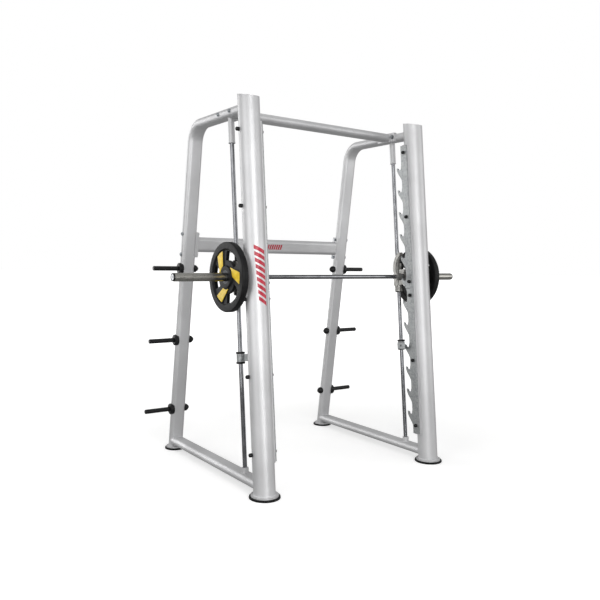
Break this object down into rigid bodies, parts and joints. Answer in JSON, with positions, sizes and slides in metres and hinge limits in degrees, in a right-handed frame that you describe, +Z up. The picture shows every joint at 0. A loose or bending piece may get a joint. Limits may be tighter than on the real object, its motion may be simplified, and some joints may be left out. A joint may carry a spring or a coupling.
{
  "type": "smith machine",
  "caption": "Barbell held on two leaning guide rods in a tube frame, with toothed plates for its turning hooks, sliding safety stops, side storage horns and loading sleeves.",
  "frame": {"origin": "middle of the bounding box on the floor plane", "axes": "+X from the left side frame to the right one along the bar, +Y from the columns and the user's side towards the rear legs, +Z up"},
  "size_m": [2.2, 1.344, 2.276],
  "materials": {
    "frame_paint": "satin metallic",
    "chromed_steel": "polished",
    "galvanised_steel": "mottled zinc",
    "carriage_steel": "satin plated",
    "bearing_bronze": "machined",
    "fastener_steel": "zinc plated",
    "black_paint": "satin",
    "black_plastic": "matte",
    "pad_rubber": "matte",
    "plate_rubber": "satin"
  },
  "bodies": {
    "frame": {"column_left": "frame_paint", "column_right": "frame_paint", "column_caps": "frame_paint", "front_flange_left": "frame_paint", "front_flange_right": "frame_paint", "front_pad_left": "pad_rubber", "front_pad_right": "pad_rubber", "rear_leg_left": "frame_paint", "rear_leg_right": "frame_paint", "rear_flanges": "frame_paint", "rear_pad_left": "pad_rubber", "rear_pad_right": "pad_rubber", "base_tube_left": "frame_paint", "base_tube_right": "frame_paint", "top_crossmember": "frame_paint", "rear_crossmember": "frame_paint", "frame_bolts": "fastener_steel", "guide_rod_left": "chromed_steel", "guide_rod_right": "chromed_steel", "rod_sleeve_left": "frame_paint", "rod_sleeve_right": "frame_paint", "rod_socket_left": "frame_paint", "rod_socket_right": "frame_paint", "leg_bend_left": "frame_paint", "leg_bend_right": "frame_paint", "upper_tube_left": "frame_paint", "upper_tube_right": "frame_paint", "hook_rail_left": "frame_paint", "hook_rail_right": "frame_paint", "upper_hook_plate_left": "galvanised_steel", "upper_hook_plate_right": "galvanised_steel", "lower_hook_plate_left": "galvanised_steel", "lower_hook_plate_right": "galvanised_steel", "hook_plate_bolts": "fastener_steel", "bolt_caps": "black_plastic", "storage_horns_left": "black_paint", "storage_horns_right": "black_paint", "horn_caps": "black_plastic"},
    "carriage": {"carriage_left": "carriage_steel", "carriage_right": "carriage_steel", "linear_bearings": "bearing_bronze", "bar_bearings": "bearing_bronze"},
    "bar": {"bar_shaft": "chromed_steel", "bar_sleeve_left": "chromed_steel", "bar_sleeve_right": "chromed_steel", "sleeve_end_caps": "black_plastic", "bar_hook_left": "galvanised_steel", "bar_hook_right": "galvanised_steel", "hook_clamp_screws": "fastener_steel"},
    "plate_left": {"weight_plate_left": "plate_rubber", "plate_hub_left": "chromed_steel"},
    "plate_right": {"weight_plate_right": "plate_rubber", "plate_hub_right": "chromed_steel"},
    "stop_left": {"stop_bushing_left": "bearing_bronze", "stop_bumpers_left": "pad_rubber"},
    "stop_right": {"stop_bushing_right": "bearing_bronze", "stop_bumpers_right": "pad_rubber"},
    "claw_left": {"stop_claw_left": "galvanised_steel"},
    "claw_right": {"stop_claw_right": "galvanised_steel"}
  },
  "joints": [
    {"name": "carriage_slide", "type": "slide", "parent": "frame", "child": "carriage", "axis": [0, 0.1002, 0.995], "range_m": [-0.3, 0.6]},
    {"name": "bar_turn", "type": "hinge", "parent": "carriage", "child": "bar", "pos_m": [0, -0.32497, 1.23104], "axis": [1, 0, 0], "range_deg": [-12, 14.3]},
    {"name": "plate_left_slide", "type": "slide", "parent": "bar", "child": "plate_left", "axis": [-1, 0, 0], "range_m": [0, 0.4]},
    {"name": "plate_right_slide", "type": "slide", "parent": "bar", "child": "plate_right", "axis": [1, 0, 0], "range_m": [0, 0.4]},
    {"name": "stop_left_slide", "type": "slide", "parent": "frame", "child": "stop_left", "axis": [0, 0.1002, 0.995], "range_m": [-0.45, 0]},
    {"name": "stop_right_slide", "type": "slide", "parent": "frame", "child": "stop_right", "axis": [0, 0.1002, 0.995], "range_m": [-0.45, 0]},
    {"name": "claw_left_swing", "type": "hinge", "parent": "stop_left", "child": "claw_left", "pos_m": [-0.649, -0.298, 0.75434], "axis": [0, 0.1002, 0.995], "range_deg": [-6.5, 20]},
    {"name": "claw_right_swing", "type": "hinge", "parent": "stop_right", "child": "claw_right", "pos_m": [0.649, -0.298, 0.75434], "axis": [0, 0.1002, 0.995], "range_deg": [-20, 6.5]}
  ]
}
